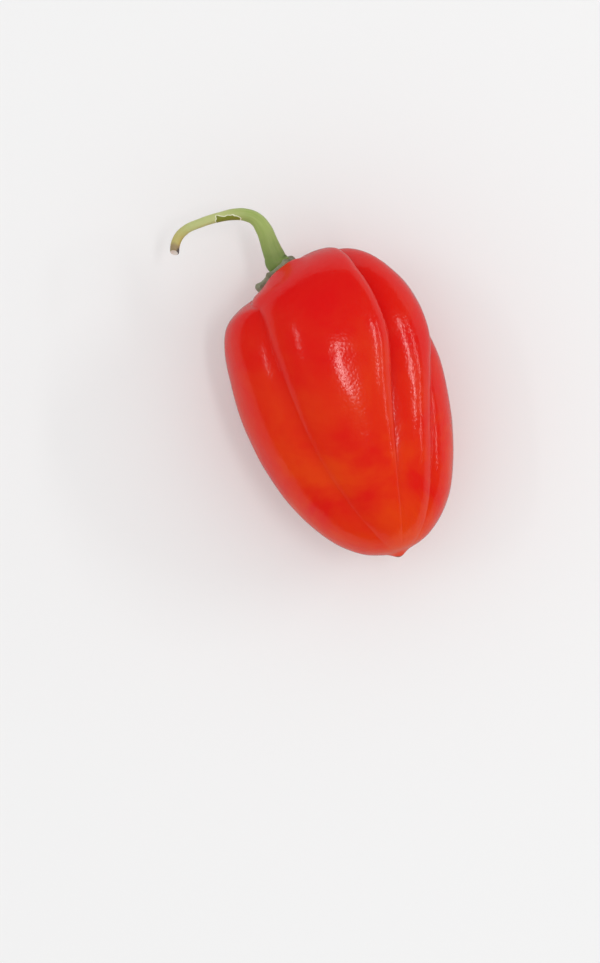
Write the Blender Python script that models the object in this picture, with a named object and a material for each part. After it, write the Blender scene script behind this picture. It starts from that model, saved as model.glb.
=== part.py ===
"""A habanero pepper lying on its side, as picked: the lobed pod, its calyx and the hooked stem.

The pepper is modelled standing on its blossom tip, with the stem end towards +Z and its front towards -Y.
The empty "lying" then lays it down with its front up, so +Y runs from the tip to the stem and the two
lobes under the pod rest on Z = 0. The world's origin is the middle of the whole pepper's underside.
"""

import math
from typing import NamedTuple

import bmesh
import bpy
import numpy as np

MM = 0.001

# Pod: two half superellipses on each other, wide at the waist, blunt at the tip
POD_HALF_WIDTH = 18.0 * MM
POD_HALF_DEPTH = 16.0 * MM
WAIST_HEIGHT = 32.0 * MM
SEAT_HEIGHT = 51.4 * MM
CROWN_FULLNESS = 2.75
TIP_FULLNESS = 2.1

# The stem stands left of the pod's middle, on a crown that slopes down to the left
SEAT_X = -4.2 * MM
TIP_X = 1.5 * MM
CROWN_SLOPE = 0.40
SEAT_SLOPE = 0.10
SEAT_RADIUS = 5.0 * MM
CROWN_REACH = 4

# The middle lobe's shoulder rises in a broad ridge in front of the calyx
RIDGE_HEIGHT = 0.9 * MM
RIDGE_X = -3.6 * MM
RIDGE_HALF_WIDTH = 3.6 * MM
RIDGE_START = 3.3 * MM
RIDGE_RISE = 1.7 * MM

# The pod bows a little towards its back, below the waist, so that its weight stands over the flats
BOW_DEPTH = 1.0 * MM
BOW_LEVEL = -0.4
BOW_REACH = 0.5

# The scar at the blossom tip is a small nub
NUB_LENGTH = 0.6 * MM
NUB_RADIUS = 1.3 * MM

# Furrows start this far from the middle of the calyx
FURROW_START = 4.0 * MM
LIP_PLACE = 0.18
DEEPEST = 2.4

# Two lobes are pressed flat on the surface that the pod rests on
FLOOR_DEPTH = 15.4 * MM

# Pieces that touch keep this much room
GAP = 0.3 * MM

# Calyx: a thin saucer with five teeth, longer on its left
CALYX_RADIUS = 3.1 * MM
CALYX_THICKNESS = 1.0 * MM
CALYX_LEFT_REACH = 0.9 * MM
TOOTH_LENGTH = 0.4 * MM
TOOTH_HALF_ANGLE = 15.0
TOOTH_AZIMUTHS = (-92.0, -24.0, 40.0, 98.0, 172.0)

# The stem leaves the calyx square to it for this far
STEM_FOOT = 0.4 * MM

# World origin, in the standing pepper's own coordinates
ORIGIN_X = -1.6 * MM
ORIGIN_Z = 31.9 * MM

POD_COLUMNS = 96
POD_RINGS = 36
CALYX_COLUMNS = 60
CALYX_RINGS = 12

# Step for slopes worked out from near points, in radians, and rounding room for an azimuth, in degrees
STEP = 0.001
ROUNDING = 0.001


class Furrow(NamedTuple):
    """One furrow between two lobes. Heights run from 0 at the blossom tip to 1 at the calyx.

    column: the ball's own azimuth, in degrees, whose column of points becomes the furrow.
    path: (height, azimuth in degrees) points, where azimuth 0 is the front and 90 the right side.
    depth: (height, depth in millimetres) points.
    left, right: the width in degrees and the sharpness of the bank on each side.
    lip: how far the left bank leans over the furrow, in millimetres.
    """

    column: float
    path: tuple
    depth: tuple
    left: tuple
    right: tuple
    lip: float = 0.0


FURROWS = (
    # Left front
    Furrow(
        column=-30.0,
        path=(
            (0, -14), (0.23, -24), (0.46, -29), (0.64, -31.5),
            (0.82, -35.5), (0.93, -37), (0.975, -52), (1, -82),
        ),
        depth=((0, 0), (0.08, 0.35), (0.23, 0.9), (0.62, 1.5), (0.85, 1.7), (0.95, 1.1), (1, 0.5)),
        left=(36, 2.6),
        right=(28, 2.6),
    ),
    # Right front, the deepest, under the rolled edge of the middle lobe
    Furrow(
        column=33.75,
        path=(
            (0, 10), (0.23, 18), (0.46, 27), (0.56, 32), (0.69, 39),
            (0.82, 43), (0.91, 50), (0.955, 66), (1, 115),
        ),
        depth=(
            (0, 0), (0.08, 0.2), (0.23, 0.8), (0.46, 1.9),
            (0.66, 2.4), (0.89, 2.6), (0.97, 1.8), (1, 1.0),
        ),
        left=(20, 4.0),
        right=(36, 1.8),
        lip=0.7,
    ),
    # Right side
    Furrow(
        column=78.75,
        path=((0, 40), (0.23, 48), (0.42, 57), (0.50, 63), (0.58, 72), (0.66, 86), (0.83, 106), (1, 132)),
        depth=((0, 0), (0.08, 0.25), (0.23, 0.8), (0.46, 1.1), (0.66, 1.1), (0.87, 1.6), (1, 0.8)),
        left=(20, 2.4),
        right=(26, 2.4),
    ),
    # Right back
    Furrow(
        column=131.25,
        path=((0, 105), (0.3, 116), (0.62, 130), (1, 158)),
        depth=((0, 0), (0.12, 0.2), (0.3, 0.6), (0.66, 0.9), (0.89, 1.4), (1, 0.7)),
        left=(26, 2.2),
        right=(26, 2.2),
    ),
    # Underside
    Furrow(
        column=180.0,
        path=((0, 174), (0.3, 179), (0.62, 180), (0.8, 182), (1, 194)),
        depth=((0, 0), (0.1, 0.4), (0.3, 1.2), (0.66, 1.8), (0.89, 2.0), (1, 0.9)),
        left=(34, 2.6),
        right=(34, 2.6),
    ),
    # Left back
    Furrow(
        column=251.25,
        path=((0, 265), (0.3, 258), (0.62, 252), (1, 246)),
        depth=((0, 0), (0.1, 0.4), (0.3, 1.1), (0.66, 1.5), (0.89, 1.8), (1, 0.9)),
        left=(34, 2.6),
        right=(36, 2.6),
    ),
)


class StemPoint(NamedTuple):
    """A point on the stem's middle line and the diameter there, in millimetres."""

    x: float
    y: float
    z: float
    diameter: float


STEM = (
    StemPoint(-3.97, 0.0, 53.3, 4.25),
    StemPoint(-4.08, 0.0, 54.5, 3.75),
    StemPoint(-4.23, -0.1, 56.1, 3.35),
    StemPoint(-4.31, -0.2, 57.6, 3.05),
    StemPoint(-4.50, -0.3, 59.3, 2.85),
    StemPoint(-5.30, -0.5, 61.4, 2.4),
    StemPoint(-6.60, -0.6, 62.5, 2.2),
    StemPoint(-8.10, -0.7, 63.1, 2.05),
    StemPoint(-11.0, -0.6, 63.5, 1.7),
    StemPoint(-14.6, -0.3, 63.5, 1.6),
    StemPoint(-17.4, 0.0, 63.1, 1.6),
    StemPoint(-19.2, 0.3, 61.9, 1.65),
    StemPoint(-20.4, 0.5, 59.6, 1.6),
)


def calyx_up():
    """The direction that the calyx faces, square to the crown's slope under it."""
    tilt = math.atan(CROWN_SLOPE + SEAT_SLOPE)
    return np.array([-math.sin(tilt), 0.0, math.cos(tilt)])


def clear_scene():
    """Remove every object that the file starts with."""
    for thing in list(bpy.data.objects):
        bpy.data.objects.remove(thing, do_unlink=True)


def smooth_curve(points, at):
    """Values at the places `at` of a smooth curve through (place, value) points, with no overshoot."""
    place, value = np.array(points, dtype=float).T
    span = np.diff(place)
    rise = np.diff(value) / span
    slope = np.zeros_like(value)
    slope[0] = rise[0]
    slope[-1] = rise[-1]
    for i in range(1, len(value) - 1):
        if rise[i - 1] * rise[i] > 0:
            slope[i] = 2 * rise[i - 1] * rise[i] / (rise[i - 1] + rise[i])
    at = np.clip(at, place[0], place[-1])
    i = np.clip(np.searchsorted(place, at, side="right") - 1, 0, len(span) - 1)
    t = (at - place[i]) / span[i]
    start = (1 + 2 * t) * (1 - t) ** 2 * value[i] + t * (1 - t) ** 2 * span[i] * slope[i]
    end = t * t * (3 - 2 * t) * value[i + 1] - t * t * (1 - t) * span[i] * slope[i + 1]
    return start + end


def ring_and_level(polar):
    """Radius of a ring as a share of the waist's, and its level from -1 at the tip to 1 at the calyx."""
    fullness = np.where(polar < math.pi / 2, CROWN_FULLNESS, TIP_FULLNESS)
    reach = (np.abs(np.sin(polar)) ** fullness + np.abs(np.cos(polar)) ** fullness) ** (1 / fullness)
    return np.sin(polar) / reach, np.cos(polar) / reach


def height_of(level):
    """Height above the blossom tip of a level, before the crown's slope."""
    above = WAIST_HEIGHT + (SEAT_HEIGHT - WAIST_HEIGHT) * level
    return np.where(level > 0, above, WAIST_HEIGHT * (1 + level))


def shoulder_ridge(x, y):
    """How far the middle lobe's shoulder rises at each place on the crown."""
    out = np.clip((-y - RIDGE_START) / RIDGE_RISE, 0, None)
    across = np.exp(-(((x - RIDGE_X) / RIDGE_HALF_WIDTH) ** 4))
    return RIDGE_HEIGHT * across * (out * np.exp(1 - out)) ** 2


def smooth_pod(polar, azimuth):
    """Points on the pod without its furrows, for polar angles from the calyx and azimuths from the front."""
    ring, level = ring_and_level(polar)
    crown = np.clip(level, 0, 1)
    tip = np.clip(-level, 0, 1)
    radius = ring * POD_HALF_WIDTH
    x = radius * np.sin(azimuth) + SEAT_X * crown ** CROWN_REACH + TIP_X * tip ** 2
    bow = BOW_DEPTH * np.exp(-(((level - BOW_LEVEL) / BOW_REACH) ** 2))
    y = bow - ring * POD_HALF_DEPTH * np.cos(azimuth)
    off_seat = x - SEAT_X
    z = height_of(level) + CROWN_SLOPE * off_seat * crown ** CROWN_REACH
    z = z + SEAT_SLOPE * off_seat * crown * np.exp(-((radius / SEAT_RADIUS) ** 2))
    z = z + shoulder_ridge(x, y) * crown
    z = z - NUB_LENGTH * tip * np.exp(-((radius / NUB_RADIUS) ** 2))
    return np.stack([x, y, z], axis=-1)


def pod_skin(polar, azimuth):
    """Points on the pod's skin: the smooth pod, sunk along each furrow and flat where it rests."""
    inner = np.clip(polar, 2 * STEP, math.pi - 2 * STEP)
    down = smooth_pod(inner + STEP, azimuth) - smooth_pod(inner - STEP, azimuth)
    around = smooth_pod(inner, azimuth + STEP) - smooth_pod(inner, azimuth - STEP)
    around = around / np.linalg.norm(around, axis=-1, keepdims=True)
    outward = np.cross(down, around)
    outward = outward / np.linalg.norm(outward, axis=-1, keepdims=True)
    ring, level = ring_and_level(polar)
    height = height_of(level) / SEAT_HEIGHT
    sunk = np.zeros_like(height)
    leant = np.zeros_like(height)
    for furrow in FURROWS:
        middle = np.radians(smooth_curve(furrow.path, height))
        depth = smooth_curve(furrow.depth, height) * MM
        off = (azimuth - middle + math.pi) % (2 * math.pi) - math.pi
        on_left = off < 0
        width = np.radians(np.where(on_left, furrow.left[0], furrow.right[0]))
        sharpness = np.where(on_left, furrow.left[1], furrow.right[1])
        away = np.clip(np.abs(off) / width, 0, 1)
        sunk = sunk + depth * (1 - away) ** sharpness
        up_bank = np.where(on_left, away / LIP_PLACE, 0)
        bulge = up_bank * np.exp(1 - up_bank) * (1 - away) ** 2
        leant = leant + furrow.lip * bulge * depth / DEEPEST
    start = 1 - np.exp(-((ring * POD_HALF_WIDTH / FURROW_START) ** 2))
    sinking = outward * (sunk * start)[..., None]
    leaning = around * (leant * start)[..., None]
    points = smooth_pod(polar, azimuth) - sinking + leaning
    points[..., 1] = np.minimum(points[..., 1], FLOOR_DEPTH)
    return points


def along_furrows(polar, column):
    """The azimuth that each column of the ball has on the pod, so that six columns lie in the furrows."""
    height = height_of(ring_and_level(polar)[1]) / SEAT_HEIGHT
    columns = [furrow.column for furrow in FURROWS]
    paths = [smooth_curve(furrow.path, height) for furrow in FURROWS]
    columns.append(columns[0] + 360)
    paths.append(paths[0] + 360)
    turned = (np.degrees(column) - columns[0] + ROUNDING) % 360 + columns[0] - ROUNDING
    azimuth = np.zeros_like(turned)
    for i in range(len(FURROWS)):
        share = (turned - columns[i]) / (columns[i + 1] - columns[i])
        inside = (share >= -ROUNDING) & (share < 1 - ROUNDING)
        azimuth = np.where(inside, paths[i] + share * (paths[i + 1] - paths[i]), azimuth)
    return np.radians(azimuth)


def ball(name, columns, rings):
    """A unit ball mesh, and the polar angle and azimuth of each of its points."""
    mesh = bpy.data.meshes.new(name)
    shape = bmesh.new()
    bmesh.ops.create_uvsphere(shape, u_segments=columns, v_segments=rings, radius=1.0)
    shape.to_mesh(mesh)
    shape.free()
    points = np.empty(len(mesh.vertices) * 3)
    mesh.vertices.foreach_get("co", points)
    x, y, z = points.reshape(-1, 3).T
    return mesh, np.arctan2(np.hypot(x, y), z), np.arctan2(x, -y)


def finish_object(name, data, collection, parent, material):
    """Link a mesh or curve as a named object that lies with the pepper."""
    thing = bpy.data.objects.new(name, data)
    data.materials.append(material)
    collection.objects.link(thing)
    thing.parent = parent
    return thing


def plain_material(name, colour, roughness):
    """A Principled material of one colour."""
    material = bpy.data.materials.new(name)
    material.use_nodes = True
    shader = material.node_tree.nodes["Principled BSDF"]
    shader.inputs["Base Color"].default_value = (*colour, 1.0)
    shader.inputs["Roughness"].default_value = roughness
    shader.inputs["Metallic"].default_value = 0.0
    return material


def build_pod(collection, parent):
    """The red fruit: a ball whose points move to the pod's skin."""
    mesh, polar, column = ball("pod", POD_COLUMNS, POD_RINGS)
    points = pod_skin(polar, along_furrows(polar, column))
    mesh.vertices.foreach_set("co", points.ravel())
    mesh.shade_smooth()
    red = plain_material("pod_red", (0.62, 0.012, 0.006), 0.22)
    return finish_object("pod", mesh, collection, parent, red)


def calyx_rim(azimuth):
    """Radius of the calyx's edge, with its teeth, at each azimuth."""
    turn = np.degrees(azimuth)
    radius = CALYX_RADIUS + CALYX_LEFT_REACH * 0.5 * (1 - np.sin(azimuth))
    for tooth in TOOTH_AZIMUTHS:
        off = np.abs((turn - tooth + 180) % 360 - 180) / TOOTH_HALF_ANGLE
        radius = radius + TOOTH_LENGTH * np.clip(1 - off, 0, 1)
    return radius


def build_calyx(collection, parent):
    """The saucer on the crown: its underside follows the pod's skin, a gap above it."""
    mesh, polar, azimuth = ball("calyx", CALYX_COLUMNS, CALYX_RINGS)
    out = np.sin(polar)
    ring = out * calyx_rim(azimuth) / POD_HALF_WIDTH
    level = (1 - ring ** CROWN_FULLNESS) ** (1 / CROWN_FULLNESS)
    points = pod_skin(np.arctan2(ring, level), azimuth)
    rounding = np.abs(np.cos(polar)) ** 0.5
    share = np.where(polar < math.pi / 2, 0.5 + 0.5 * rounding, 0.5 - 0.5 * rounding)
    points = points + calyx_up() * (GAP + CALYX_THICKNESS * share)[..., None]
    mesh.vertices.foreach_set("co", points.ravel())
    mesh.shade_smooth()
    olive = plain_material("calyx_olive", (0.17, 0.20, 0.10), 0.6)
    return finish_object("calyx", mesh, collection, parent, olive)


def build_stem(collection, parent):
    """The stalk: a tapered round curve from the calyx, over the bend, to the cut end."""
    curve = bpy.data.curves.new("stem", "CURVE")
    curve.dimensions = "3D"
    curve.resolution_u = 5
    curve.bevel_depth = 0.5 * MM
    curve.bevel_resolution = 4
    curve.use_fill_caps = True
    spline = curve.splines.new("BEZIER")
    spline.bezier_points.add(len(STEM) - 1)
    for knot, point in zip(spline.bezier_points, STEM):
        knot.co = (point.x * MM, point.y * MM, point.z * MM)
        knot.radius = point.diameter
        knot.handle_left_type = "AUTO"
        knot.handle_right_type = "AUTO"
    foot = spline.bezier_points[0]
    foot.handle_left_type = "FREE"
    foot.handle_right_type = "FREE"
    foot.handle_left = np.array(foot.co) - calyx_up() * STEM_FOOT
    foot.handle_right = np.array(foot.co) + calyx_up() * STEM_FOOT
    green = plain_material("stem_green", (0.24, 0.33, 0.08), 0.5)
    return finish_object("stem", curve, collection, parent, green)


def build_pepper():
    """Build the three pieces and lay the pepper on its side."""
    clear_scene()
    collection = bpy.data.collections.new("habanero_pepper")
    bpy.context.scene.collection.children.link(collection)
    lying = bpy.data.objects.new("lying", None)
    collection.objects.link(lying)
    lying.rotation_euler = (math.radians(-90), 0.0, 0.0)
    lying.location = (-ORIGIN_X, -ORIGIN_Z, FLOOR_DEPTH)
    build_pod(collection, lying)
    build_calyx(collection, lying)
    build_stem(collection, lying)


build_pepper()
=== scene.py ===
"""A red habanero pepper lying on a pale floor, dressed for rendering.

The pod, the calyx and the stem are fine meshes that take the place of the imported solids. Each is modelled
in the standing pepper's own coordinates, blossom tip down and front towards -Y, and is then laid on its
side where its solid lies.
"""

import logging
import math
from dataclasses import dataclass
from enum import Enum

import bmesh
import bpy
import numpy as np
from bpy.types import ID, Material, Mesh, Node, NodeSocket, NodeTree, Object
from mathutils import Matrix, Vector, noise


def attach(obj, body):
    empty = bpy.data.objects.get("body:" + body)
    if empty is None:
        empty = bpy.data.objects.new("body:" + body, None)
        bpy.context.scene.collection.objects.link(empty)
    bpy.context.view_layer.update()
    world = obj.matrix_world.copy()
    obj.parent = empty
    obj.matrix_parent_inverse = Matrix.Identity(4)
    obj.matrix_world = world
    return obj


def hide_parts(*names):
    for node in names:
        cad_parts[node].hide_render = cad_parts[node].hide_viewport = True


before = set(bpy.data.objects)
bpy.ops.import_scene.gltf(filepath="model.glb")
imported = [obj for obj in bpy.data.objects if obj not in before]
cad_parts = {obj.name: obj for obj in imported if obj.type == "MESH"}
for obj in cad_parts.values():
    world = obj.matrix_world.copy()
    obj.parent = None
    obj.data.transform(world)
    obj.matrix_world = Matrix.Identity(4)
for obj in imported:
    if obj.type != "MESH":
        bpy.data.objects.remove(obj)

MM = 0.001
BODY = "root"
LOG = logging.getLogger("habanero")

Pair = tuple[float, float]
Rgb = tuple[float, float, float]
Stops = tuple[tuple[float, float | Rgb], ...]
Array = np.ndarray


class Slot(Enum):
    """The record's material slots."""

    POD = "pod_skin"
    CALYX = "calyx"
    STEM = "stem"


class Value(Enum):
    """Numbers that the meshes carry from point to point, for the materials to read."""

    FURROW = "furrow"
    HEIGHT = "height"
    SCAR = "scar"
    SEAT = "seat"
    RIM = "rim"
    ALONG = "along"
    CUT = "cut"
    STAIN = "stain"
    SCUFF = "scuff"
    GRAIN = "grain"


def smooth_curve(points: tuple, at: Array) -> Array:
    """A smooth curve through (place, value) points, with no overshoot.

    Args:
        points: the (place, value) pairs, with places rising.
        at: the places to read.

    Returns:
        The curve's value at each place.
    """
    place, value = np.array(points, dtype=float).T
    span = np.diff(place)
    rise = np.diff(value) / span
    slope = np.zeros_like(value)
    slope[0] = rise[0]
    slope[-1] = rise[-1]
    for i in range(1, len(value) - 1):
        if rise[i - 1] * rise[i] > 0:
            slope[i] = 2 * rise[i - 1] * rise[i] / (rise[i - 1] + rise[i])
    at = np.clip(at, place[0], place[-1])
    i = np.clip(np.searchsorted(place, at, side="right") - 1, 0, len(span) - 1)
    t = (at - place[i]) / span[i]
    start = (1 + 2 * t) * (1 - t) ** 2 * value[i] + t * (1 - t) ** 2 * span[i] * slope[i]
    end = t * t * (3 - 2 * t) * value[i + 1] - t * t * (1 - t) * span[i] * slope[i + 1]
    return start + end


def smooth_step(low: float, high: float, value: Array) -> Array:
    """0 below low, 1 above high and a smooth rise between them."""
    t = np.clip((value - low) / (high - low), 0, 1)
    return t * t * (3 - 2 * t)


def bell(off: Array, power: int = 2) -> Array:
    """1 in the middle and 0 far off; a higher power gives a flatter top and steeper sides."""
    return np.exp(-(off ** power))


def ripple(points: Array, length: float, seed: float) -> Array:
    """Smooth noise over a set of points.

    Args:
        points: the points, in metres.
        length: the distance from one swell to the next, in metres.
        seed: picks one noise field out of many.

    Returns:
        A number from 0 to 1 for each point.
    """
    shift = Vector((seed, -seed, 2 * seed))
    values = [noise.noise(Vector(point) / length + shift) for point in points.reshape(-1, 3)]
    return np.clip(0.5 + 0.5 * np.array(values), 0, 1).reshape(points.shape[:-1])


@dataclass(frozen=True)
class Resting:
    """Where the standing pepper's coordinates lie in the frame."""

    origin_x: float = -1.6 * MM
    origin_z: float = 31.9 * MM
    floor_depth: float = 15.4 * MM

    def lay(self, points: Array) -> Array:
        """The standing pepper's points, laid on its back with its stem end towards +Y."""
        x, y, z = np.moveaxis(points, -1, 0)
        return np.stack([x - self.origin_x, z - self.origin_z, self.floor_depth - y], axis=-1)


@dataclass(frozen=True)
class Furrow:
    """One furrow between two lobes. Heights run from 0 at the blossom tip to 1 at the calyx.

    column: the ball's own azimuth, in degrees, whose column of points becomes the furrow.
    path: (height, azimuth in degrees) points, where azimuth 0 is the front and 90 the right side.
    depth: (height, depth in millimetres) points.
    left, right: the width in degrees and the sharpness of the bank on each side.
    lip: how far the left bank leans over the furrow, in millimetres.
    """

    column: float
    path: tuple
    depth: tuple
    left: tuple = (34, 2.6)
    right: tuple = (34, 2.6)
    lip: float = 0.0


FURROWS = (
    # Left front
    Furrow(
        column=-30.0,
        path=(
            (0, -14), (0.23, -24), (0.46, -29), (0.64, -31.5),
            (0.82, -35.5), (0.93, -37), (0.975, -52), (1, -82),
        ),
        depth=((0, 0), (0.08, 0.35), (0.23, 0.9), (0.62, 1.5), (0.85, 1.7), (0.95, 1.1), (1, 0.5)),
        left=(36, 2.6),
        right=(28, 2.6),
    ),
    # Right front, the deepest, under the rolled edge of the middle lobe
    Furrow(
        column=33.75,
        path=(
            (0, 10), (0.23, 18), (0.46, 27), (0.56, 32), (0.69, 39),
            (0.82, 43), (0.91, 50), (0.955, 66), (1, 115),
        ),
        depth=(
            (0, 0), (0.08, 0.2), (0.23, 0.8), (0.46, 1.9),
            (0.66, 2.4), (0.89, 2.6), (0.97, 1.8), (1, 1.0),
        ),
        left=(20, 4.0),
        right=(36, 1.8),
        lip=0.7,
    ),
    # Right side
    Furrow(
        column=78.75,
        path=((0, 40), (0.23, 48), (0.42, 57), (0.50, 63), (0.58, 72), (0.66, 86), (0.83, 106), (1, 132)),
        depth=((0, 0), (0.08, 0.25), (0.23, 0.8), (0.46, 1.1), (0.66, 1.1), (0.87, 1.6), (1, 0.8)),
        left=(20, 2.4),
        right=(26, 2.4),
    ),
    # Right back
    Furrow(
        column=131.25,
        path=((0, 105), (0.3, 116), (0.62, 130), (1, 158)),
        depth=((0, 0), (0.12, 0.2), (0.3, 0.6), (0.66, 0.9), (0.89, 1.4), (1, 0.7)),
        left=(26, 2.2),
        right=(26, 2.2),
    ),
    # Underside
    Furrow(
        column=180.0,
        path=((0, 174), (0.3, 179), (0.62, 180), (0.8, 182), (1, 194)),
        depth=((0, 0), (0.1, 0.4), (0.3, 1.2), (0.66, 1.8), (0.89, 2.0), (1, 0.9)),
    ),
    # Left back
    Furrow(
        column=251.25,
        path=((0, 265), (0.3, 258), (0.62, 252), (1, 246)),
        depth=((0, 0), (0.1, 0.4), (0.3, 1.1), (0.66, 1.5), (0.89, 1.8), (1, 0.9)),
        right=(36, 2.6),
    ),
)


@dataclass(frozen=True)
class Swell:
    """A layer of soft relief: how far apart its swells are, how far it sinks the skin, and its seed."""

    length: float
    depth: float
    seed: float

    def sink(self, points: Array) -> Array:
        """How far it sinks the skin at each point."""
        return self.depth * ripple(points, self.length, self.seed)


def ball(name: str, columns: int, rings: int) -> tuple[Mesh, Array, Array]:
    """A unit ball whose points are moved afterwards.

    Args:
        name: the mesh's name.
        columns: how many points go round it.
        rings: how many bands lie between its poles.

    Returns:
        The mesh, and the polar angle and azimuth of each of its points.
    """
    mesh = bpy.data.meshes.new(name)
    shape = bmesh.new()
    bmesh.ops.create_uvsphere(shape, u_segments=columns, v_segments=rings, radius=1.0)
    shape.to_mesh(mesh)
    shape.free()
    points = np.empty(len(mesh.vertices) * 3)
    mesh.vertices.foreach_get("co", points)
    x, y, z = points.reshape(-1, 3).T
    return mesh, np.arctan2(np.hypot(x, y), z), np.arctan2(x, -y)


def carry(mesh: Mesh, name: Value, values: Array) -> None:
    """Stores a number, or a vector, for each of the mesh's points.

    Args:
        mesh: the mesh that carries it.
        name: what the materials call it.
        values: one number or three for each point.
    """
    kind, field = ("FLOAT_VECTOR", "vector") if values.ndim == 2 else ("FLOAT", "value")
    layer = mesh.attributes.new(name.value, kind, "POINT")
    layer.data.foreach_set(field, values.astype(np.float32).ravel())


def add(name: str, data: ID) -> Object:
    """Puts an object that shows the data into the scene."""
    made = bpy.data.objects.new(name, data)
    bpy.context.scene.collection.objects.link(made)
    return made


def place(mesh: Mesh, points: Array, slot: Slot, node: str, material: Material) -> None:
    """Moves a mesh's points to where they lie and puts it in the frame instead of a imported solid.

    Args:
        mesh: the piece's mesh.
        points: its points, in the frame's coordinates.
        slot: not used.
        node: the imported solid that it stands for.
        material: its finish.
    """
    mesh.vertices.foreach_set("co", points.ravel())
    mesh.shade_smooth()
    mesh.materials.append(material)
    mesh.update()
    piece = add(mesh.name, mesh)
    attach(piece, BODY)
    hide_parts(node)
    LOG.info("%s: %d points, stands for %s", piece.name, len(mesh.vertices), node)


@dataclass
class Pod:
    """The red fruit: two half superellipses on each other, sunk along six furrows."""

    half_width: float = 18.0 * MM
    half_depth: float = 16.0 * MM
    waist_height: float = 32.0 * MM
    seat_height: float = 51.4 * MM
    crown_fullness: float = 2.75
    tip_fullness: float = 2.1
    seat_x: float = -4.2 * MM
    tip_x: float = 1.5 * MM
    crown_slope: float = 0.40
    seat_slope: float = 0.10
    seat_radius: float = 5.0 * MM
    crown_reach: int = 4
    ridge_height: float = 0.9 * MM
    ridge_x: float = -3.6 * MM
    ridge_half_width: float = 3.6 * MM
    ridge_start: float = 3.3 * MM
    ridge_rise: float = 1.7 * MM
    bow_depth: float = 1.0 * MM
    bow_level: float = -0.4
    bow_reach: float = 0.5
    nub_length: float = 0.6 * MM
    nub_radius: float = 1.3 * MM
    furrow_start: float = 4.0 * MM
    lip_place: float = 0.18
    deepest: float = 2.4
    furrows: tuple[Furrow, ...] = FURROWS
    resting: Resting = Resting()
    swells: tuple[Swell, ...] = (
        Swell(9.0 * MM, 0.26 * MM, 3.1),
        Swell(3.6 * MM, 0.10 * MM, 7.7),
        Swell(1.3 * MM, 0.030 * MM, 1.9),
    )
    relief_start: float = 2.5 * MM
    scar_radius: float = 1.0 * MM
    dull_radius: float = 5.0 * MM
    columns: int = 384
    rings: int = 240
    step: float = 0.001
    rounding: float = 0.001

    def ring_and_level(self, polar: Array) -> tuple[Array, Array]:
        """Radius of a ring as a share of the waist's, and its level from -1 at the tip to 1 at the calyx.

        Args:
            polar: the angle from the calyx end.

        Returns:
            The ring's radius and its level.
        """
        fullness = np.where(polar < math.pi / 2, self.crown_fullness, self.tip_fullness)
        reach = (np.abs(np.sin(polar)) ** fullness + np.abs(np.cos(polar)) ** fullness) ** (1 / fullness)
        return np.sin(polar) / reach, np.cos(polar) / reach

    def height_of(self, level: Array) -> Array:
        """Height above the blossom tip of a level, before the crown's slope."""
        above = self.waist_height + (self.seat_height - self.waist_height) * level
        return np.where(level > 0, above, self.waist_height * (1 + level))

    def shoulder_ridge(self, x: Array, y: Array) -> Array:
        """How far the middle lobe's shoulder rises on the crown.

        Args:
            x: places towards the pepper's right.
            y: places towards its back.

        Returns:
            The rise at each place, in metres.
        """
        out = np.clip((-y - self.ridge_start) / self.ridge_rise, 0, None)
        across = bell((x - self.ridge_x) / self.ridge_half_width, 4)
        return self.ridge_height * across * (out * np.exp(1 - out)) ** 2

    def smooth(self, polar: Array, azimuth: Array) -> Array:
        """Points on the pod without its furrows.

        Args:
            polar: angles from the calyx end.
            azimuth: angles from the front.

        Returns:
            The points, in the standing pepper's coordinates.
        """
        ring, level = self.ring_and_level(polar)
        crown = np.clip(level, 0, 1)
        tip = np.clip(-level, 0, 1)
        radius = ring * self.half_width
        x = radius * np.sin(azimuth) + self.seat_x * crown ** self.crown_reach + self.tip_x * tip ** 2
        bow = self.bow_depth * bell((level - self.bow_level) / self.bow_reach)
        y = bow - ring * self.half_depth * np.cos(azimuth)
        off_seat = x - self.seat_x
        z = self.height_of(level) + self.crown_slope * off_seat * crown ** self.crown_reach
        z = z + self.seat_slope * off_seat * crown * bell(radius / self.seat_radius)
        z = z + self.shoulder_ridge(x, y) * crown
        z = z - self.nub_length * tip * bell(radius / self.nub_radius)
        return np.stack([x, y, z], axis=-1)

    def outward(self, polar: Array, azimuth: Array) -> tuple[Array, Array]:
        """The directions square to the smooth pod and round it.

        Args:
            polar: angles from the calyx end.
            azimuth: angles from the front.

        Returns:
            The unit vectors that point out of the skin and round the pod.
        """
        inner = np.clip(polar, 2 * self.step, math.pi - 2 * self.step)
        down = self.smooth(inner + self.step, azimuth) - self.smooth(inner - self.step, azimuth)
        around = self.smooth(inner, azimuth + self.step) - self.smooth(inner, azimuth - self.step)
        around = around / np.linalg.norm(around, axis=-1, keepdims=True)
        out = np.cross(down, around)
        return out / np.linalg.norm(out, axis=-1, keepdims=True), around

    def sink(self, polar: Array, azimuth: Array) -> tuple[Array, Array]:
        """How far the furrows move the skin.

        Args:
            polar: angles from the calyx end.
            azimuth: angles from the front.

        Returns:
            The distance inwards and the distance round the pod, in metres.
        """
        ring, level = self.ring_and_level(polar)
        height = self.height_of(level) / self.seat_height
        sunk = np.zeros_like(height)
        leant = np.zeros_like(height)
        for furrow in self.furrows:
            middle = np.radians(smooth_curve(furrow.path, height))
            depth = smooth_curve(furrow.depth, height) * MM
            off = (azimuth - middle + math.pi) % (2 * math.pi) - math.pi
            on_left = off < 0
            width = np.radians(np.where(on_left, furrow.left[0], furrow.right[0]))
            sharpness = np.where(on_left, furrow.left[1], furrow.right[1])
            away = np.clip(np.abs(off) / width, 0, 1)
            sunk = sunk + depth * (1 - away) ** sharpness
            up_bank = np.where(on_left, away / self.lip_place, 0)
            bulge = up_bank * np.exp(1 - up_bank) * (1 - away) ** 2
            leant = leant + furrow.lip * bulge * depth / self.deepest
        start = 1 - bell(ring * self.half_width / self.furrow_start)
        return sunk * start, leant * start

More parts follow.
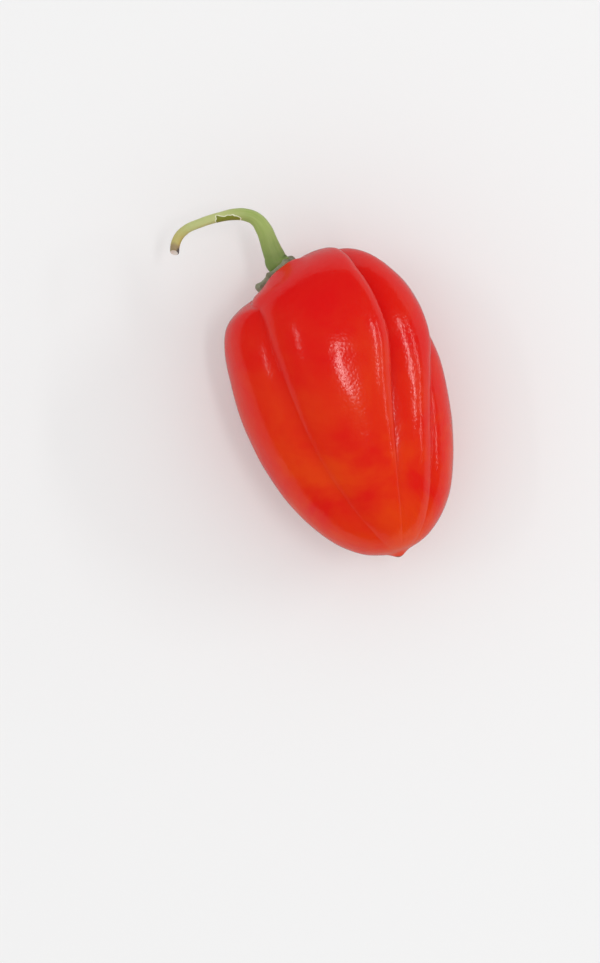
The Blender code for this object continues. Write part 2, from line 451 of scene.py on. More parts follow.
    def skin(self, polar: Array, azimuth: Array) -> Array:
        """Points on the pod's skin, with its furrows, its soft relief and the flats that it rests on.

        Args:
            polar: angles from the calyx end.
            azimuth: angles from the front.

        Returns:
            The points, in the standing pepper's coordinates.
        """
        out, around = self.outward(polar, azimuth)
        sunk, leant = self.sink(polar, azimuth)
        points = self.smooth(polar, azimuth) - out * sunk[..., None] + around * leant[..., None]
        points = points - out * self.relief(points, self.ring_and_level(polar)[0])[..., None]
        points[..., 1] = np.minimum(points[..., 1], self.resting.floor_depth)
        return points

    def along_furrows(self, polar: Array, column: Array) -> Array:
        """The azimuth that each column of the ball has on the pod, so that six columns lie in the furrows.

        Args:
            polar: angles from the calyx end.
            column: the ball's own azimuths.

        Returns:
            The azimuths on the pod.
        """
        height = self.height_of(self.ring_and_level(polar)[1]) / self.seat_height
        columns = [furrow.column for furrow in self.furrows]
        paths = [smooth_curve(furrow.path, height) for furrow in self.furrows]
        columns.append(columns[0] + 360)
        paths.append(paths[0] + 360)
        turned = (np.degrees(column) - columns[0] + self.rounding) % 360 + columns[0] - self.rounding
        azimuth = np.zeros_like(turned)
        for i in range(len(self.furrows)):
            share = (turned - columns[i]) / (columns[i + 1] - columns[i])
            inside = (share >= -self.rounding) & (share < 1 - self.rounding)
            azimuth = np.where(inside, paths[i] + share * (paths[i + 1] - paths[i]), azimuth)
        return np.radians(azimuth)

    def relief(self, points: Array, ring: Array) -> Array:
        """How far the soft relief sinks the skin, in metres.

        Args:
            points: the skin's points.
            ring: each point's ring, as a share of the waist's radius.

        Returns:
            The distance inwards.
        """
        sunk = np.zeros(len(points))
        for swell in self.swells:
            sunk = sunk + swell.sink(points)
        return sunk * smooth_step(0, self.relief_start / self.half_width, ring)

    def build(self, material: Material) -> None:
        """Makes the pod and puts it in the frame.

        Args:
            material: the pod's finish.
        """
        mesh, polar, column = ball("pod_fine", self.columns, self.rings)
        azimuth = self.along_furrows(polar, column)
        ring, level = self.ring_and_level(polar)
        points = self.skin(polar, azimuth)
        sunk, _ = self.sink(polar, azimuth)
        radius = ring * self.half_width
        # How deep each furrow is here; the pod's finish paints shade into the furrows from it.
        carry(mesh, Value.FURROW, np.clip(sunk / (self.deepest * MM), 0, 1))
        carry(mesh, Value.HEIGHT, self.height_of(level) / self.seat_height)
        carry(mesh, Value.SCAR, np.where(level < 0, bell(radius / self.scar_radius), 0))
        carry(mesh, Value.SEAT, np.where(level > 0, bell(radius / self.dull_radius), 0))
        place(mesh, self.resting.lay(points), Slot.POD, "pod", material)


@dataclass
class Calyx:
    """The thick saucer that grips the crown, with five stubby teeth."""

    radius: float = 3.1 * MM
    left_reach: float = 0.9 * MM
    top: float = 1.3 * MM
    edge: float = 0.55 * MM
    sunk: float = 0.15 * MM
    roundness: float = 0.5
    hug: float = 0.3
    tooth_length: float = 0.4 * MM
    tooth_half_angle: float = 15.0
    tooth_azimuths: tuple[float, ...] = (-92.0, -24.0, 40.0, 98.0, 172.0)
    bulb_height: float = 0.55 * MM
    bulb_half_angle: float = 22.0
    bulb_leaning: float = 0.45
    rib_height: float = 0.2 * MM
    rib_half_angle: float = 13.0
    collar_radius: float = 2.5 * MM
    collar_height: float = 0.12 * MM
    collar_width: float = 0.35 * MM
    crumple: Swell = Swell(0.9 * MM, 0.12 * MM, 5.3)
    rib_reach: Pair = (0.4, 0.7)
    bulb_reach: Pair = (0.6, 0.9)
    crumple_reach: Pair = (0.5, 0.9)
    rim_reach: Pair = (0.7, 1.0)
    columns: int = 240
    rings: int = 72

    def up(self, pod: Pod) -> Array:
        """The direction that the calyx faces, square to the crown's slope under it."""
        tilt = math.atan(pod.crown_slope + pod.seat_slope)
        return np.array([-math.sin(tilt), 0.0, math.cos(tilt)])

    def nearness(self, azimuth: Array, half_angle: float) -> Array:
        """How near each azimuth is to a tooth, from 0 to 1.

        Args:
            azimuth: angles round the calyx.
            half_angle: how far from a tooth the number reaches 0, in degrees.

        Returns:
            The nearness.
        """
        near = np.zeros_like(azimuth)
        for tooth in self.tooth_azimuths:
            off = np.abs((np.degrees(azimuth) - tooth + 180) % 360 - 180) / half_angle
            near = np.maximum(near, np.clip(1 - off, 0, 1))
        return near

    def rim(self, azimuth: Array) -> Array:
        """Radius of the calyx's edge at each azimuth, teeth included."""
        base = self.radius + self.left_reach * 0.5 * (1 - np.sin(azimuth))
        return base + self.tooth_length * self.nearness(azimuth, self.tooth_half_angle)

    def build(self, pod: Pod, material: Material) -> None:
        """Makes the calyx on the pod's crown and puts it in the frame.

        Args:
            pod: the pod that it sits on.
            material: the calyx's finish.
        """
        mesh, polar, azimuth = ball("calyx_fine", self.columns, self.rings)
        out = np.sin(polar)
        radius = out * self.rim(azimuth)
        ring = radius / pod.half_width
        level = (1 - ring ** pod.crown_fullness) ** (1 / pod.crown_fullness)
        skin = pod.skin(np.arctan2(ring, level), azimuth)
        inwards = np.abs(np.cos(polar))
        rib = self.nearness(azimuth, self.rib_half_angle) ** 2 * smooth_step(*self.rib_reach, out)
        collar = bell((radius - self.collar_radius) / self.collar_width)
        bulb = smooth_step(0, 1, self.nearness(azimuth, self.bulb_half_angle))
        bulb = bulb * smooth_step(*self.bulb_reach, out) * (1 - self.bulb_leaning * np.sin(azimuth))
        raised = self.rib_height * rib + self.collar_height * collar + self.bulb_height * bulb
        above = self.edge + (self.top + raised - self.edge) * inwards ** self.roundness
        below = self.edge - (self.edge + self.sunk) * inwards ** self.hug
        height = np.where(polar < math.pi / 2, above, below)
        points = skin + self.up(pod) * height[:, None]
        crumple = self.crumple.sink(points) * smooth_step(*self.crumple_reach, out)
        points = points - self.up(pod) * crumple[:, None]
        carry(mesh, Value.RIM, smooth_step(*self.rim_reach, out))
        grain = np.stack([np.sin(azimuth), np.cos(azimuth), out], axis=-1)
        carry(mesh, Value.GRAIN, grain)
        place(mesh, pod.resting.lay(points), Slot.CALYX, "calyx", material)


@dataclass(frozen=True)
class StemPoint:
    """A point on the stem's middle line and the diameter there, in millimetres."""

    x: float
    y: float
    z: float
    diameter: float


@dataclass
class Stem:
    """The green stalk: a ribbed tube from the calyx, over the bend, to the cut end."""

    points: tuple[StemPoint, ...] = tuple(StemPoint(*numbers) for numbers in (
        (-3.97, 0.0, 53.3, 4.25), (-4.08, 0.0, 54.5, 3.75), (-4.23, -0.1, 56.1, 3.35),
        (-4.31, -0.2, 57.6, 3.05), (-4.50, -0.3, 59.3, 2.85), (-5.30, -0.5, 61.4, 2.4),
        (-6.60, -0.6, 62.5, 2.2), (-8.10, -0.7, 63.1, 2.05), (-11.0, -0.6, 63.5, 1.7),
        (-14.6, -0.3, 63.5, 1.6), (-17.4, 0.0, 63.1, 1.6), (-19.2, 0.3, 61.9, 1.65),
        (-20.4, 0.5, 59.6, 1.6),
    ))
    foot: float = 0.4 * MM
    root: float = 1.0 * MM
    pieces_between_points: int = 16
    ribs: int = 6
    rib_depth: float = 0.05
    rib_twist: float = 0.9
    rib_fade: float = 0.6
    lumps: Swell = Swell(2.4 * MM, 0.03, 2.2)
    rim_roundness: float = 0.18 * MM
    cut_dish: float = 0.16 * MM
    cut_rings: int = 10
    cut_slant: float = 0.55
    slant_start: float = 0.9
    stain_start: float = 0.95
    columns: int = 96
    scuff_side: Pair = (-0.55, -0.84)
    scuff_line: tuple[Pair, ...] = (
        (-12.0, 1.5), (-11.5, 0.2), (-11.1, 0.3), (-10.6, 0.56),
        (-9.3, 0.66), (-8.1, 0.84), (-7.5, 1.2),
    )
    scuff_edge: float = 0.14
    scuff_rags: Swell = Swell(0.6 * MM, 0.4, 4.4)
    least: float = 0.001 * MM
    grain_stretch: float = 60.0

    def middle_line(self, up: Array) -> tuple[Array, Array]:
        """Points along the stem's middle line, and the radius at each.

        Args:
            up: the direction in which the stem leaves the calyx.

        Returns:
            The line's points and the stem's radius at each, in metres.
        """
        curve = bpy.data.curves.new("stem_line", "CURVE")
        curve.dimensions = "3D"
        curve.resolution_u = self.pieces_between_points
        spline = curve.splines.new("BEZIER")
        spline.bezier_points.add(len(self.points) - 1)
        for knot, point in zip(spline.bezier_points, self.points):
            knot.co = (point.x * MM, point.y * MM, point.z * MM)
            knot.handle_left_type = knot.handle_right_type = "AUTO"
        first = spline.bezier_points[0]
        first.handle_left_type = first.handle_right_type = "FREE"
        first.handle_left = np.array(first.co) - up * self.foot
        first.handle_right = np.array(first.co) + up * self.foot
        holder = bpy.data.objects.new("stem_line", curve)
        line = np.array([vertex.co for vertex in holder.to_mesh().vertices])
        holder.to_mesh_clear()
        bpy.data.objects.remove(holder)
        bpy.data.curves.remove(curve)
        knots = [(i, point.diameter * MM / 2) for i, point in enumerate(self.points)]
        radius = smooth_curve(tuple(knots), np.arange(len(line)) / self.pieces_between_points)
        line = np.vstack([line[0] - up * self.root, line])
        return line, np.append(radius[0], radius)

    def directions(self, line: Array) -> tuple[Array, Array, Array]:
        """Directions along and across the line, with no twist between neighbours.

        Args:
            line: the middle line's points.

        Returns:
            The unit vectors along the line, and two across it at each point.
        """
        along = np.gradient(line, axis=0)
        along = along / np.linalg.norm(along, axis=1, keepdims=True)
        across = np.zeros_like(line)
        side = np.array([0.0, -1.0, 0.0])
        for i, forward in enumerate(along):
            side = side - forward * side.dot(forward)
            side = side / np.linalg.norm(side)
            across[i] = side
        return along, across, np.cross(along, across)

    def stations(self, line: Array, radius: Array, along: Array) -> list[tuple]:
        """Every ring of the stem: the tube's, then those of the rounded rim and the dished cut.

        Args:
            line: the middle line's points.
            radius: the stem's radius at each.
            along: the direction of the line at each.

        Returns:
            For each ring its centre, its radius, the index of the line's point it belongs to, and how far
            it lies into the cut face, from 0 to 1. The first and the last ring have no radius.
        """
        last = len(line) - 1
        face = radius[last] - self.rim_roundness
        rings = [(line[0], 0.0, 0, 0.0)]
        rings += [(line[i], radius[i], i, 0.0) for i in range(last)]
        for share in np.linspace(0, 1, self.cut_rings):
            turn = 0.5 * math.pi * share
            back = self.rim_roundness * (1 - math.sin(turn))
            reach = face + self.rim_roundness * math.cos(turn)
            rings.append((line[last] - along[last] * back, reach, last, 0.5 * share))
        for share in np.linspace(0, 1, self.cut_rings + 1)[1:]:
            back = self.cut_dish * math.sin(0.5 * math.pi * share)
            rings.append((line[last] - along[last] * back, face * (1 - share), last, 0.5 + 0.5 * share))
        return rings

    def build(self, up: Array, resting: Resting, material: Material) -> None:
        """Makes the stem and puts it in the frame.

        Args:
            up: the direction in which the stem leaves the calyx.
            resting: how the pepper lies.
            material: the stem's finish.
        """
        line, radius = self.middle_line(up)
        along, side, other = self.directions(line)
        steps = np.linalg.norm(np.diff(line, axis=0), axis=1)
        travelled = np.concatenate([[0], np.cumsum(steps)])
        rings = self.stations(line, radius, along)
        mesh, polar, turn = ball("stem_fine", self.columns, len(rings) - 1)
        ring = np.rint((1 - polar / math.pi) * (len(rings) - 1)).astype(int)
        centre, reach, i, cut = (np.array(numbers)[ring] for numbers in zip(*rings))
        share = (travelled / travelled[-1])[i]
        wave = 0.5 - 0.5 * np.cos(self.ribs * turn + self.rib_twist * self.ribs * share)
        out = np.cos(turn)[:, None] * side[i] + np.sin(turn)[:, None] * other[i]
        size = reach * (1 - self.rib_depth * (1 - self.rib_fade * share) * wave ** 2)
        size = size * (1 - self.lumps.sink(centre + out * reach[:, None]))
        slant = self.cut_slant * smooth_step(self.slant_start, 1, share)
        shorter = slant * (radius[-1] - out[:, 1] * reach)
        points = centre + out * size[:, None] - along[i] * shorter[:, None]
        stain = smooth_step(self.stain_start, 1, share) * np.clip(out[:, 0], 0, 1)
        # The two end points lie on the middle line, so they have no side
        across = np.sign(reach) * np.stack([np.cos(turn), np.sin(turn)])
        carry(mesh, Value.ALONG, share)
        carry(mesh, Value.CUT, cut)
        carry(mesh, Value.STAIN, stain * (cut < 0.5))
        carry(mesh, Value.GRAIN, np.column_stack([*across, travelled[i] * self.grain_stretch]))
        carry(mesh, Value.SCUFF, self.scuff(points, line))
        place(mesh, resting.lay(points), Slot.STEM, "stem", material)

    def scuff(self, points: Array, line: Array) -> Array:
        """Where the stem's pale bloom is rubbed off, on the inside of the bend.

        Args:
            points: the stem's points.
            line: its middle line.

        Returns:
            A number from 0 to 1 for each point, past 0.5 inside the patch.
        """
        nearest = np.array([line[np.argmin(np.linalg.norm(line - point, axis=1))] for point in points])
        out = points - nearest
        out = out / np.maximum(np.linalg.norm(out, axis=1, keepdims=True), self.least)
        facing = out[:, 1] * self.scuff_side[0] + out[:, 2] * self.scuff_side[1]
        ragged = self.scuff_rags.sink(points) - self.scuff_rags.depth / 2
        inside = facing + ragged - smooth_curve(self.scuff_line, points[:, 0] / MM)
        return smooth_step(-self.scuff_edge, self.scuff_edge, inside)


@dataclass(frozen=True)
class Wiring:
    """A node tree and the few steps that every material and group needs."""

    tree: NodeTree

    def feed(self, source: object, target: NodeSocket) -> None:
        """Gives a socket what it takes.

        Args:
            source: another socket, a number or a colour.
            target: the socket.
        """
        if isinstance(source, NodeSocket):
            self.tree.links.new(source, target)
        else:
            target.default_value = (*source, 1) if isinstance(source, tuple) else source

    def node(self, kind: str, sources: dict | tuple = (), **settings: object) -> Node:
        """Adds a node.

        Args:
            kind: the node's type.
            sources: what its input sockets take, by name or place, or simply in order.
            settings: its properties.

        Returns:
            The node.
        """
        made = self.tree.nodes.new(kind)
        for key, setting in settings.items():
            setattr(made, key, setting)
        for key, source in sources.items() if isinstance(sources, dict) else enumerate(sources):
            self.feed(source, made.inputs[key])
        return made

    def read(self, name: Value, output: str = "Fac") -> NodeSocket:
        """A number, or with "Vector" three, that the mesh carries."""
        made = self.node("ShaderNodeAttribute", attribute_name=name.value, attribute_type="GEOMETRY")
        return made.outputs[output]

    def place(self) -> NodeSocket:
        """The point's place in the piece's own coordinates."""
        return self.node("ShaderNodeTexCoord").outputs["Object"]

    def group(self, group: NodeTree, *sources: object) -> Node:
        """Places a node group, fed with a place or a grain and then its numbers."""
        return self.node("ShaderNodeGroup", sources, node_tree=group)

    def ramp(self, factor: NodeSocket, stops: Stops) -> NodeSocket:
        """A colour ramp.

        Args:
            factor: the socket that drives it.
            stops: (place, colour) pairs, or (place, number) pairs for a plain factor.

        Returns:
            The ramp's colour socket.
        """
        made = self.node("ShaderNodeValToRGB", (factor,))
        elements = made.color_ramp.elements
        while len(elements) < len(stops):
            elements.new(0.5)
        for element, (where, colour) in zip(elements, stops):
            element.position = where
            element.color = (*((colour,) * 3 if isinstance(colour, float) else colour), 1)
        return made.outputs["Color"]

    def mix(self, factor: NodeSocket, first: object, second: object) -> NodeSocket:
        """Mixes two colours, with as much of the second as the factor says."""
        return self.node("ShaderNodeMix", {0: factor, 6: first, 7: second}, data_type="RGBA").outputs[2]

    def maths(self, operation: str, *sources: object) -> NodeSocket:
        """A sum, product or the like of sockets and numbers."""
        return self.node("ShaderNodeMath", sources, operation=operation).outputs[0]

    def stretch(self, value: NodeSocket, by: object, onto: object) -> NodeSocket:
        """A value times one number or socket, plus another."""
        return self.maths("MULTIPLY_ADD", value, by, onto)

    def bump(self, height: NodeSocket, depth: float, shader: Node) -> None:
        """Gives a shader fine relief, as deep as asked in metres."""
        made = self.node("ShaderNodeBump", {"Strength": 1.0, "Distance": depth, "Height": height})
        self.feed(made.outputs["Normal"], shader.inputs["Normal"])


class Effects:
    """Shader groups that more than one material uses."""

    def __init__(self) -> None:
        """Builds each group once."""
        self.mottle = self.build_mottle()
        self.peel = self.build_peel()
        self.fibres = self.build_fibres()

    @staticmethod
    def start(name: str, inputs: dict[str, float | None], outputs: tuple[str, ...]) -> tuple:
        """Starts a node group.

        Args:
            name: the group's name.
            inputs: the name and first value of each number that goes in; None stands for a vector.
            outputs: the name of each number that comes out.

        Returns:
            The wiring, and the group's inner sockets for what goes in and what comes out.
        """
        tree = bpy.data.node_groups.new(name, "ShaderNodeTree")
        for key, value in inputs.items():
            kind = "NodeSocketVector" if value is None else "NodeSocketFloat"
            socket = tree.interface.new_socket(name=key, in_out="INPUT", socket_type=kind)
            if value is not None:
                socket.default_value = value
        for key in outputs:
            tree.interface.new_socket(name=key, in_out="OUTPUT", socket_type="NodeSocketFloat")
        wiring = Wiring(tree)
        return wiring, wiring.node("NodeGroupInput").outputs, wiring.node("NodeGroupOutput").inputs

    def build_mottle(self) -> NodeTree:
        """Soft uneven patches, from 0 to 1.

        Returns:
            The group.
        """
        inputs = {"Place": None, "Scale": 200.0, "Contrast": 1.0}
        wiring, enter, leave = self.start("soft_mottle", inputs, ("Mask",))
        cloud = wiring.node("ShaderNodeTexNoise", {
            "Vector": enter["Place"], "Scale": enter["Scale"],
            "Detail": 4.0, "Roughness": 0.55, "Distortion": 0.4,
        })
        off = wiring.maths("SUBTRACT", cloud.outputs["Fac"], 0.5)
        mask = wiring.node("ShaderNodeClamp", (wiring.stretch(off, enter["Contrast"], 0.5),))
        wiring.feed(mask.outputs[0], leave["Mask"])
        return wiring.tree

    def build_peel(self, finer: float = 2.3) -> NodeTree:
        """The fine pebbled relief of a plant's skin: cells and a finer grain.

        Args:
            finer: how many times finer the grain is than the cells.

        Returns:
            The group.
        """
        inputs = {"Place": None, "Scale": 2000.0, "Grain": 0.3}
        wiring, enter, leave = self.start("skin_peel", inputs, ("Height",))
        cells = wiring.node("ShaderNodeTexVoronoi", {
            "Vector": enter["Place"], "Scale": enter["Scale"], "Smoothness": 0.8,
        }, feature="SMOOTH_F1")
        grain = wiring.node("ShaderNodeTexNoise", {
            "Vector": enter["Place"], "Scale": wiring.maths("MULTIPLY", enter["Scale"], finer),
            "Detail": 2.0, "Roughness": 0.5,
        })
        speck = wiring.maths("MULTIPLY", grain.outputs["Fac"], enter["Grain"])
        wiring.feed(wiring.maths("SUBTRACT", speck, cells.outputs["Distance"]), leave["Height"])
        return wiring.tree

    def build_fibres(self, crisp: Stops = ((0.35, 0.0), (0.65, 1.0))) -> NodeTree:
        """Lengthwise streaks that follow a piece's own grain.

        Args:
            crisp: the ramp that sharpens them into the mask.

        Returns:
            The group.
        """
        inputs = {"Grain": None, "Scale": 8.0}
        wiring, enter, leave = self.start("long_fibres", inputs, ("Mask", "Height"))
        streaks = wiring.node("ShaderNodeTexNoise", {
            "Vector": enter["Grain"], "Scale": enter["Scale"],
            "Detail": 5.0, "Roughness": 0.6, "Distortion": 0.1,
        })
        wiring.feed(wiring.ramp(streaks.outputs["Fac"], crisp), leave["Mask"])
        wiring.feed(streaks.outputs["Fac"], leave["Height"])
        return wiring.tree


def new_material(name: str) -> tuple[Material, Wiring, Node]:
    """Starts a material.

    Args:
        name: the material's name.

    Returns:
        The material, its wiring and its Principled shader.
    """
    material = bpy.data.materials.new(name)
    material.use_nodes = True
    return material, Wiring(material.node_tree), material.node_tree.nodes["Principled BSDF"]


@dataclass(frozen=True)
class PodFinish:
    """Glossy waxy red skin, orange towards the tip and on the lobes; painted shade deepens the red in the
    furrows.

    In every finish, patches and tatters hold a scale and a contrast, and peel a scale and a grain.
    """

    red: Rgb = (0.68, 0.004, 0.005)
    orange: Rgb = (0.74, 0.052, 0.0006)
    # Painted shade: the deeper, more saturated red that the furrows are mixed towards.
    furrow_shade_red: Rgb = (0.68, 0.0, 0.0)
    scar: Rgb = (0.16, 0.065, 0.025)
    patches: Pair = (80.0, 3.6)
    orange_by_height: Stops = ((0.0, 0.8), (0.35, 0.55), (0.75, 0.26), (1.0, 0.0))
    orange_between_patches: float = 0.2
    orange_in_patches: float = 1.2
    # How much painted furrow shade each furrow depth gets.
    shade_by_furrow: Stops = ((0.25, 0.0), (0.95, 0.75))
    tatters: Pair = (900.0, 3.0)
    scar_ragged: float = 0.4
    scar_edge: Stops = ((0.70, 0.0), (1.0, 1.0))
    roughness: float = 0.15
    patch_roughness: float = 0.05
    scar_roughness: float = 0.5
    seat_roughness: float = 0.4
    peel: Pair = (2200.0, 0.3)
    peel_depth: float = 0.024 * MM
    wax: tuple[tuple[str, object], ...] = (
        ("IOR", 1.45),
        ("Specular IOR Level", 0.4),
        ("Coat Weight", 0.1),
        ("Coat Roughness", 0.06),
        ("Subsurface Weight", 0.12),
        ("Subsurface Radius", (1.0, 0.25, 0.1)),
        ("Subsurface Scale", 1.5 * MM),
    )

    def make(self, effects: Effects) -> Material:
        """Builds the material.

        Args:
            effects: the shared shader groups.

        Returns:
            The pod's material.
        """
        material, wiring, shader = new_material("pod_skin")
        spot = wiring.place()
        patch = wiring.group(effects.mottle, spot, *self.patches).outputs["Mask"]
        to_tip = wiring.ramp(wiring.read(Value.HEIGHT), self.orange_by_height)
        warm = wiring.stretch(patch, self.orange_in_patches, self.orange_between_patches)
        colour = wiring.mix(wiring.maths("MULTIPLY", to_tip, warm), self.red, self.orange)
        # Painted shade: the furrows are mixed towards a deeper, more saturated red, more where they are
        # deeper.
        furrow = wiring.ramp(wiring.read(Value.FURROW), self.shade_by_furrow)
        colour = wiring.mix(furrow, colour, self.furrow_shade_red)
        torn = wiring.group(effects.mottle, spot, *self.tatters)
        scar = wiring.stretch(torn.outputs["Mask"], self.scar_ragged, wiring.read(Value.SCAR))
        scar = wiring.ramp(scar, self.scar_edge)
        wiring.feed(wiring.mix(scar, colour, self.scar), shader.inputs["Base Color"])
        rough = wiring.stretch(patch, self.patch_roughness, self.roughness)
        rough = wiring.stretch(scar, self.scar_roughness, rough)
        rough = wiring.stretch(wiring.read(Value.SEAT), self.seat_roughness, rough)
        wiring.feed(rough, shader.inputs["Roughness"])
        peel = wiring.group(effects.peel, spot, *self.peel)
        wiring.bump(peel.outputs["Height"], self.peel_depth, shader)
        for socket, value in self.wax:
            shader.inputs[socket].default_value = value
        return material


@dataclass(frozen=True)
class CalyxFinish:
    """Dull grey-olive leaf, dry and browner at its edge."""

    olive: Rgb = (0.21, 0.225, 0.13)
    pale: Rgb = (0.36, 0.36, 0.25)
    dry: Rgb = (0.15, 0.135, 0.08)
    fibre_scale: float = 9.0
    patches: Pair = (600.0, 3.0)
    roughness: float = 0.5
    patch_roughness: float = 0.2
    peel: Pair = (3500.0, 0.6)
    peel_depth: float = 0.03 * MM

    def make(self, effects: Effects) -> Material:
        """Builds the material.

        Args:
            effects: the shared shader groups.

        Returns:
            The calyx's material.
        """
        material, wiring, shader = new_material("calyx")
        spot = wiring.place()
        fibres = wiring.group(effects.fibres, wiring.read(Value.GRAIN, "Vector"), self.fibre_scale)
        patch = wiring.group(effects.mottle, spot, *self.patches).outputs["Mask"]
        colour = wiring.mix(fibres.outputs["Mask"], self.olive, self.pale)
        edge = wiring.maths("MULTIPLY", wiring.read(Value.RIM), patch)
        wiring.feed(wiring.mix(edge, colour, self.dry), shader.inputs["Base Color"])
        rough = wiring.stretch(patch, self.patch_roughness, self.roughness)
        wiring.feed(rough, shader.inputs["Roughness"])
        peel = wiring.group(effects.peel, spot, *self.peel)
        relief = wiring.maths("ADD", peel.outputs["Height"], fibres.outputs["Height"])
        wiring.bump(relief, self.peel_depth, shader)
        return material


@dataclass(frozen=True)
class StemFinish:
    """Pale-bloomed green skin with long fibres, ochre and brown where the cut end has dried."""

    green: Rgb = (0.31, 0.41, 0.095)
    bloom: Rgb = (0.52, 0.55, 0.22)
    foot: Rgb = (0.17, 0.25, 0.052)
    ochre: Rgb = (0.54, 0.46, 0.15)
    brown: Rgb = (0.36, 0.24, 0.13)
    rubbed: Rgb = (0.185, 0.21, 0.0)
    torn: Rgb = (0.76, 0.77, 0.56)
    pith: Rgb = (0.74, 0.66, 0.58)
    rim: Rgb = (0.09, 0.075, 0.07)
    skin_places: tuple[float, ...] = (0.10, 0.30, 0.45, 0.60, 0.82, 0.90, 0.95, 1.0)
    skin_ragged: float = 0.06
    patches: Pair = (500.0, 2.2)
    patch_shade: float = 0.22
    fibre_scale: float = 3.0
    fibre_shade: float = 0.35
    fibres_along: Stops = ((0.05, 0.15), (0.3, 1.0), (0.82, 1.0), (0.9, 0.0))
    torn_edge: Stops = ((0.02, 0.0), (0.15, 0.95))
    rubbed_edge: Stops = ((0.60, 0.0), (0.75, 0.97))
    pith_edge: Stops = ((0.2, 0.0), (0.45, 1.0))
    stain_ragged: float = 0.4
    stain_edge: Stops = ((0.5, 0.0), (0.8, 1.0))
    roughness: float = 0.36
    fibre_roughness: float = 0.15
    peel: Pair = (3000.0, 0.5)
    peel_share: float = 0.3
    fibre_depth: float = 0.03 * MM

    def make(self, effects: Effects) -> Material:
        """Builds the material.

        Args:
            effects: the shared shader groups.

        Returns:
            The stem's material.
        """
        material, wiring, shader = new_material("stem")
        spot = wiring.place()
        fibres = wiring.group(effects.fibres, wiring.read(Value.GRAIN, "Vector"), self.fibre_scale)
        fibre = fibres.outputs["Mask"]
        along = wiring.read(Value.ALONG)
        patch = wiring.group(effects.mottle, spot, *self.patches).outputs["Mask"]
        skins = (self.green, self.green, self.bloom, self.bloom, self.ochre, self.ochre)
        ragged = wiring.stretch(patch, self.skin_ragged, along)
        colour = wiring.ramp(ragged, tuple(zip(self.skin_places, (self.foot, *skins, self.brown))))
        colour = wiring.mix(wiring.maths("MULTIPLY", patch, self.patch_shade), colour, self.foot)
        streaks = wiring.maths("MULTIPLY", fibre, self.fibre_shade)
        fresh = wiring.ramp(along, self.fibres_along)
        colour = wiring.mix(wiring.maths("MULTIPLY", streaks, fresh), colour, self.bloom)
        scuff = wiring.read(Value.SCUFF)
        colour = wiring.mix(wiring.ramp(scuff, self.torn_edge), colour, self.torn)
        colour = wiring.mix(wiring.ramp(scuff, self.rubbed_edge), colour, self.rubbed)
        colour = wiring.mix(wiring.ramp(wiring.read(Value.CUT), self.pith_edge), colour, self.pith)
        stain = wiring.stretch(patch, self.stain_ragged, wiring.read(Value.STAIN))
        colour = wiring.mix(wiring.ramp(stain, self.stain_edge), colour, self.rim)
        wiring.feed(colour, shader.inputs["Base Color"])
        rough = wiring.stretch(fibre, self.fibre_roughness, self.roughness)
        wiring.feed(rough, shader.inputs["Roughness"])
        peel = wiring.group(effects.peel, spot, *self.peel)
        relief = wiring.stretch(peel.outputs["Height"], self.peel_share, fibres.outputs["Height"])
        wiring.bump(relief, self.fibre_depth, shader)
        return material


@dataclass(frozen=True)
class Softbox:
    """A soft light: its place round the pepper, its size and its power.

    right, up: the direction it shines from, as shares of the photograph's right and up; the rest is height.
    """

    name: str
    right: float
    up: float
    distance: float
    width: float
    length: float
    power: float


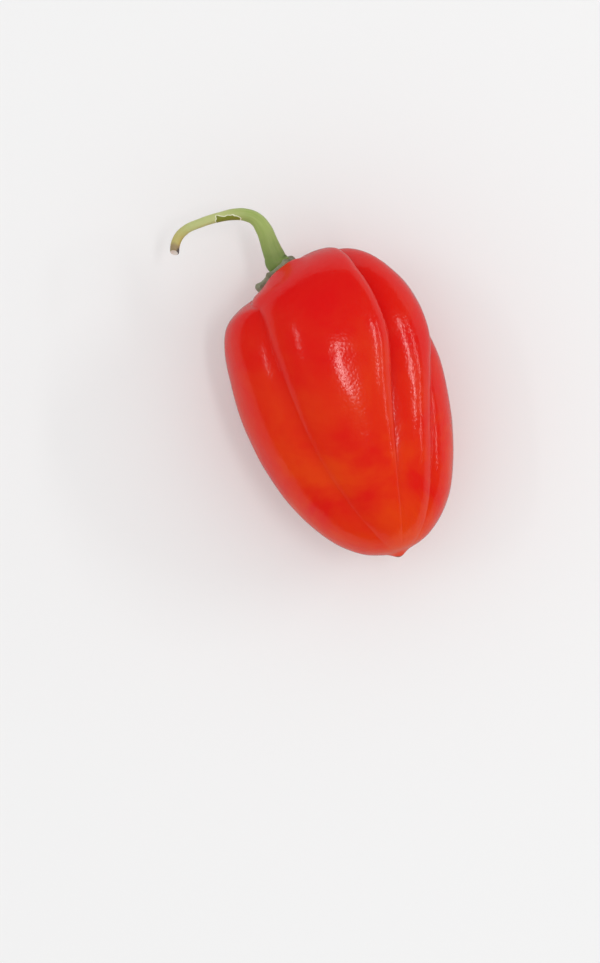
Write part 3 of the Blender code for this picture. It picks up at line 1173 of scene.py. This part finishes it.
@dataclass
class Studio:
    """A pale floor, soft light and a camera straight above, turned as the photograph is."""

    image_height: int = 963
    metres_a_pixel: float = 0.17 * MM
    turn: float = math.atan2(-0.29, 0.956)
    aim: Pair = (-9.45 * MM, -15.3 * MM)
    mid_height: float = 15.0 * MM
    distance: float = 0.6
    sensor: float = 36.0
    clip: Pair = (0.05, 20.0)
    floor_radius: float = 3.0
    floor_sides: int = 96
    floor_roughness: float = 0.7
    floor_grey: float = 0.86
    floor_mirrored: float = 0.45
    surround: float = 0.90
    softboxes: tuple[Softbox, ...] = (
        Softbox("strip_middle", 0.20, 0.02, 0.90, 0.05, 0.26, 0.75),
        Softbox("strip_right", 0.78, 0.30, 0.90, 0.04, 0.34, 0.7),
        Softbox("strip_edge", 0.94, 0.22, 0.90, 0.04, 0.50, 0.4),
        Softbox("strip_left", -0.62, 0.10, 0.90, 0.02, 0.26, 0.25),
    )

    def direction(self, right: float, up: float) -> Vector:
        """A direction in the frame, from one in the photograph.

        Args:
            right: how much of it points to the photograph's right, from -1 to 1.
            up: how much of it points to the photograph's top.

        Returns:
            The unit vector; the rest of it points up from the floor.
        """
        side = Vector((math.cos(self.turn), math.sin(self.turn), 0))
        top = Vector((-math.sin(self.turn), math.cos(self.turn), 0))
        height = math.sqrt(1 - right * right - up * up)
        return side * right + top * up + Vector((0, 0, height))

    def build_floor(self) -> None:
        """The pale floor, greyer where a glossy surface mirrors it."""
        material, wiring, shader = new_material("floor")
        path = wiring.node("ShaderNodeLightPath")
        greys = ((self.floor_grey,) * 3, (self.floor_mirrored,) * 3)
        wiring.feed(wiring.mix(path.outputs["Is Glossy Ray"], *greys), shader.inputs["Base Color"])
        shader.inputs["Roughness"].default_value = self.floor_roughness
        shape = bmesh.new()
        sides, radius = self.floor_sides, self.floor_radius
        bmesh.ops.create_circle(shape, cap_ends=True, segments=sides, radius=radius)
        mesh = bpy.data.meshes.new("floor")
        shape.to_mesh(mesh)
        shape.free()
        mesh.materials.append(material)
        floor = add("floor", mesh)

    def build_world(self) -> None:
        """Even white light from all round, which glossy surfaces don't mirror."""
        world = bpy.data.worlds.new("soft_tent")
        world.use_nodes = True
        bpy.context.scene.world = world
        background = world.node_tree.nodes["Background"]
        background.inputs["Color"].default_value = (*(self.surround,) * 3, 1)
        world.cycles_visibility.glossy = False

    def build_lights(self) -> None:
        """The softboxes, each turned towards the pepper."""
        target = Vector((*self.aim, self.mid_height))
        for box in self.softboxes:
            light = bpy.data.lights.new(box.name, "AREA")
            light.shape = "RECTANGLE"
            light.size = box.width
            light.size_y = box.length
            light.energy = box.power
            away = self.direction(box.right, box.up)
            side = self.direction(0, 1).cross(away).normalized()
            turned = Matrix((side, away.cross(side), away)).transposed().to_4x4()
            lamp = add(box.name, light)
            lamp.matrix_world = Matrix.Translation(target + away * box.distance) @ turned

    def build_camera(self) -> None:
        """The camera, straight above."""
        camera = bpy.data.cameras.new("camera")
        camera.sensor_width = self.sensor
        camera.lens = self.sensor * self.distance / (self.image_height * self.metres_a_pixel)
        camera.clip_start, camera.clip_end = self.clip
        holder = add("camera", camera)
        holder.location = (*self.aim, self.mid_height + self.distance)
        holder.rotation_euler = (0, 0, self.turn)
        bpy.context.scene.camera = holder

    def build(self) -> None:
        """Sets up everything round the pepper."""
        self.build_floor()
        self.build_world()
        self.build_lights()
        self.build_camera()
        view = bpy.context.scene.view_settings
        view.view_transform = "Standard"
        view.look = "None"
        LOG.info("studio: %d softboxes", len(self.softboxes))


def main() -> None:
    """Builds the studio and the pepper's three pieces."""
    logging.basicConfig(level=logging.INFO, format="%(name)s %(message)s")
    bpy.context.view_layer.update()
    Studio().build()
    effects = Effects()
    pod = Pod()
    pod.build(PodFinish().make(effects))
    calyx = Calyx()
    calyx.build(pod, CalyxFinish().make(effects))
    Stem().build(calyx.up(pod), pod.resting, StemFinish().make(effects))


if __name__ == "__main__":
    main()
